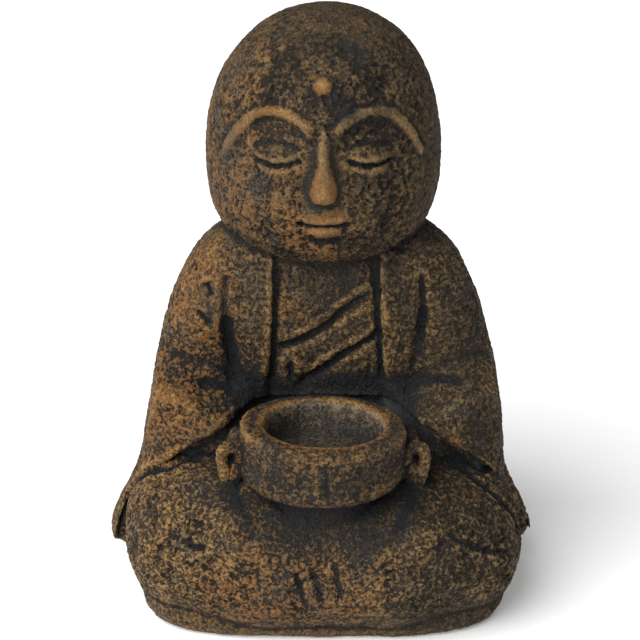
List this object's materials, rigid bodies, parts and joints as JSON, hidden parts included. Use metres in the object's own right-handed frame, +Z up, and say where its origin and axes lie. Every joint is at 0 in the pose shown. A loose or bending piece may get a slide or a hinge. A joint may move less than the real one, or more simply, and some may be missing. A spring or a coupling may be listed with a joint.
{
  "type": "jizo statue",
  "caption": "Seated jizo figure of cast stone with a large bald head, a folded robe and wide sleeves, holding a shallow round bowl for a tealight over the lap.",
  "frame": {"origin": "middle of the flat underside of the plinth, under the figure's axis", "axes": "+Z up through the head, -Y the way the figure faces, +X towards the figure's left hand"},
  "size_m": [0.2084, 0.1545, 0.2793],
  "materials": {
    "stone": "coarse cast stone, blackened in the pits and dry-brushed orange-brown on the raised parts, matt"
  },
  "bodies": {
    "root": {"statue": "stone"}
  },
  "joints": []
}
